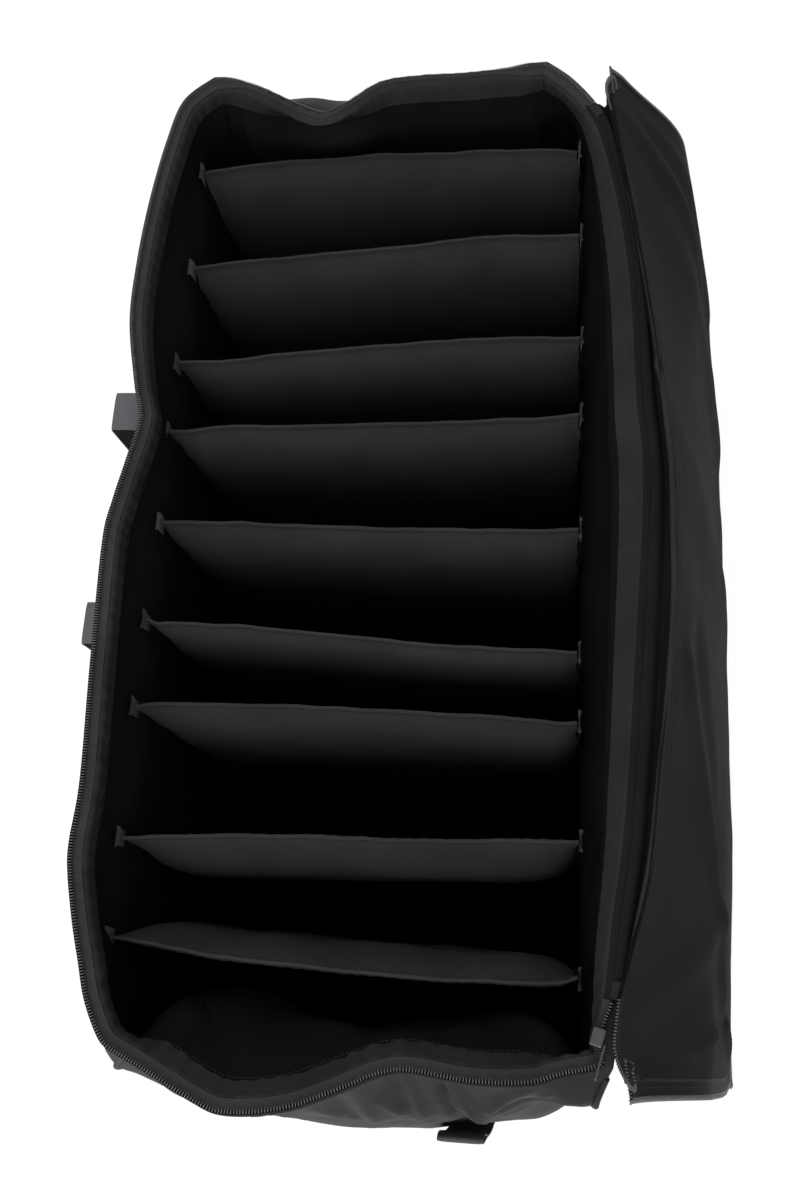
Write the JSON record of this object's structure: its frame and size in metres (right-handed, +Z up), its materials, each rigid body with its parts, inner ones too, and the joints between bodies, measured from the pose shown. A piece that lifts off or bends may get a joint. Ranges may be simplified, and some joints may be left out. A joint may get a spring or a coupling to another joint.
{
  "type": "drum kit bag",
  "caption": "Long soft padded bag with an open rectangular mouth, lift-out padded dividers across it, a zip-round flap lid hinged on one long side, and webbing handles.",
  "frame": {"origin": "middle of the base's underside, on the floor", "axes": "+X towards the hinge side with the hanging lid, -X the front, +Y along the bag to its far end, +Z up"},
  "size_m": [0.5921, 1.0165, 0.4703],
  "materials": {
    "outer_nylon": "matte black nylon pack cloth, softly sheened",
    "brushed_lining": "black brushed lining over foam, fully matte",
    "zip_tape": "black woven tape",
    "zip_coil": "black nylon coil, slightly glossy",
    "webbing": "dark grey-black flat webbing",
    "nickel": "bright nickel plate"
  },
  "bodies": {
    "bag": {"base_panel": "outer_nylon", "base_board": "brushed_lining", "base_piping": "outer_nylon", "rear_wall": "outer_nylon", "far_wall": "outer_nylon", "front_wall": "outer_nylon", "near_wall": "outer_nylon", "corner_piping_near_rear": "outer_nylon", "corner_piping_far_rear": "outer_nylon", "corner_piping_far_front": "outer_nylon", "corner_piping_near_front": "outer_nylon", "rim_facing": "brushed_lining", "body_zip_tape": "zip_tape", "body_zip_teeth": "zip_coil", "zip_end_tab_near": "outer_nylon", "zip_end_tab_far": "outer_nylon", "hinge_strip": "outer_nylon", "front_handle_strap_a": "webbing", "front_handle_strap_b": "webbing", "rear_handle_strap_a": "webbing", "rear_handle_strap_b": "webbing", "near_handle_strap_a": "webbing", "near_handle_strap_b": "webbing", "far_handle_strap_a": "webbing", "far_handle_strap_b": "webbing"},
    "lid": {"lid_panel": "outer_nylon", "lid_binding": "outer_nylon", "lid_hinge_flap": "outer_nylon", "lid_zip_tape": "zip_tape", "lid_zip_teeth": "zip_coil"},
    "divider_1": {"divider_1": "brushed_lining", "divider_1_hook_band": "zip_tape"},
    "divider_2": {"divider_2": "brushed_lining", "divider_2_hook_band": "zip_tape"},
    "divider_3": {"divider_3": "brushed_lining", "divider_3_hook_band": "zip_tape"},
    "divider_4": {"divider_4": "brushed_lining", "divider_4_hook_band": "zip_tape"},
    "divider_5": {"divider_5": "brushed_lining", "divider_5_hook_band": "zip_tape"},
    "divider_6": {"divider_6": "brushed_lining", "divider_6_hook_band": "zip_tape"},
    "divider_7": {"divider_7": "brushed_lining", "divider_7_hook_band": "zip_tape"},
    "divider_8": {"divider_8": "brushed_lining", "divider_8_hook_band": "zip_tape"},
    "divider_9": {"divider_9": "brushed_lining", "divider_9_hook_band": "zip_tape"},
    "front_handle": {"front_handle": "webbing"},
    "rear_handle": {"rear_handle": "webbing"},
    "near_handle": {"near_handle": "webbing"},
    "far_handle": {"far_handle": "webbing"},
    "zip_slider": {"zip_slider": "nickel"},
    "slider_pull": {"slider_pull": "nickel"}
  },
  "joints": [
    {"name": "lid_hinge", "type": "hinge", "parent": "bag", "child": "lid", "pos_m": [0.258, 0, 0.47], "axis": [0, 1, 0], "range_deg": [-258.5, 0]},
    {"name": "divider_1_lift", "type": "slide", "parent": "bag", "child": "divider_1", "axis": [0, 0, 1], "range_m": [0, 0.46]},
    {"name": "divider_2_lift", "type": "slide", "parent": "bag", "child": "divider_2", "axis": [0, 0, 1], "range_m": [0, 0.46]},
    {"name": "divider_3_lift", "type": "slide", "parent": "bag", "child": "divider_3", "axis": [0, 0, 1], "range_m": [0, 0.46]},
    {"name": "divider_4_lift", "type": "slide", "parent": "bag", "child": "divider_4", "axis": [0, 0, 1], "range_m": [0, 0.46]},
    {"name": "divider_5_lift", "type": "slide", "parent": "bag", "child": "divider_5", "axis": [0, 0, 1], "range_m": [0, 0.46]},
    {"name": "divider_6_lift", "type": "slide", "parent": "bag", "child": "divider_6", "axis": [0, 0, 1], "range_m": [0, 0.46]},
    {"name": "divider_7_lift", "type": "slide", "parent": "bag", "child": "divider_7", "axis": [0, 0, 1], "range_m": [0, 0.46]},
    {"name": "divider_8_lift", "type": "slide", "parent": "bag", "child": "divider_8", "axis": [0, 0, 1], "range_m": [0, 0.46]},
    {"name": "divider_9_lift", "type": "slide", "parent": "bag", "child": "divider_9", "axis": [0, 0, 1], "range_m": [0, 0.46]},
    {"name": "front_handle_swing", "type": "hinge", "parent": "bag", "child": "front_handle", "pos_m": [-0.238, 0.01, 0.402], "axis": [0, 1, 0], "range_deg": [0, 150]},
    {"name": "rear_handle_swing", "type": "hinge", "parent": "bag", "child": "rear_handle", "pos_m": [0.232, 0, 0.352], "axis": [0, -1, 0], "range_deg": [0, 18]},
    {"name": "near_handle_swing", "type": "hinge", "parent": "bag", "child": "near_handle", "pos_m": [0, -0.51, 0.312], "axis": [-1, 0, 0], "range_deg": [0, 150]},
    {"name": "far_handle_swing", "type": "hinge", "parent": "bag", "child": "far_handle", "pos_m": [0, 0.504, 0.312], "axis": [1, 0, 0], "range_deg": [0, 150]},
    {"name": "zip_slider_run", "type": "slide", "parent": "bag", "child": "zip_slider", "axis": [0.2823, 0.9593, 0], "range_m": [0, 0.02]},
    {"name": "slider_pull_swing", "type": "hinge", "parent": "zip_slider", "child": "slider_pull", "pos_m": [0.20411, -0.40157, 0.4585], "axis": [0, 0, 1], "range_deg": [0, 25]}
  ]
}
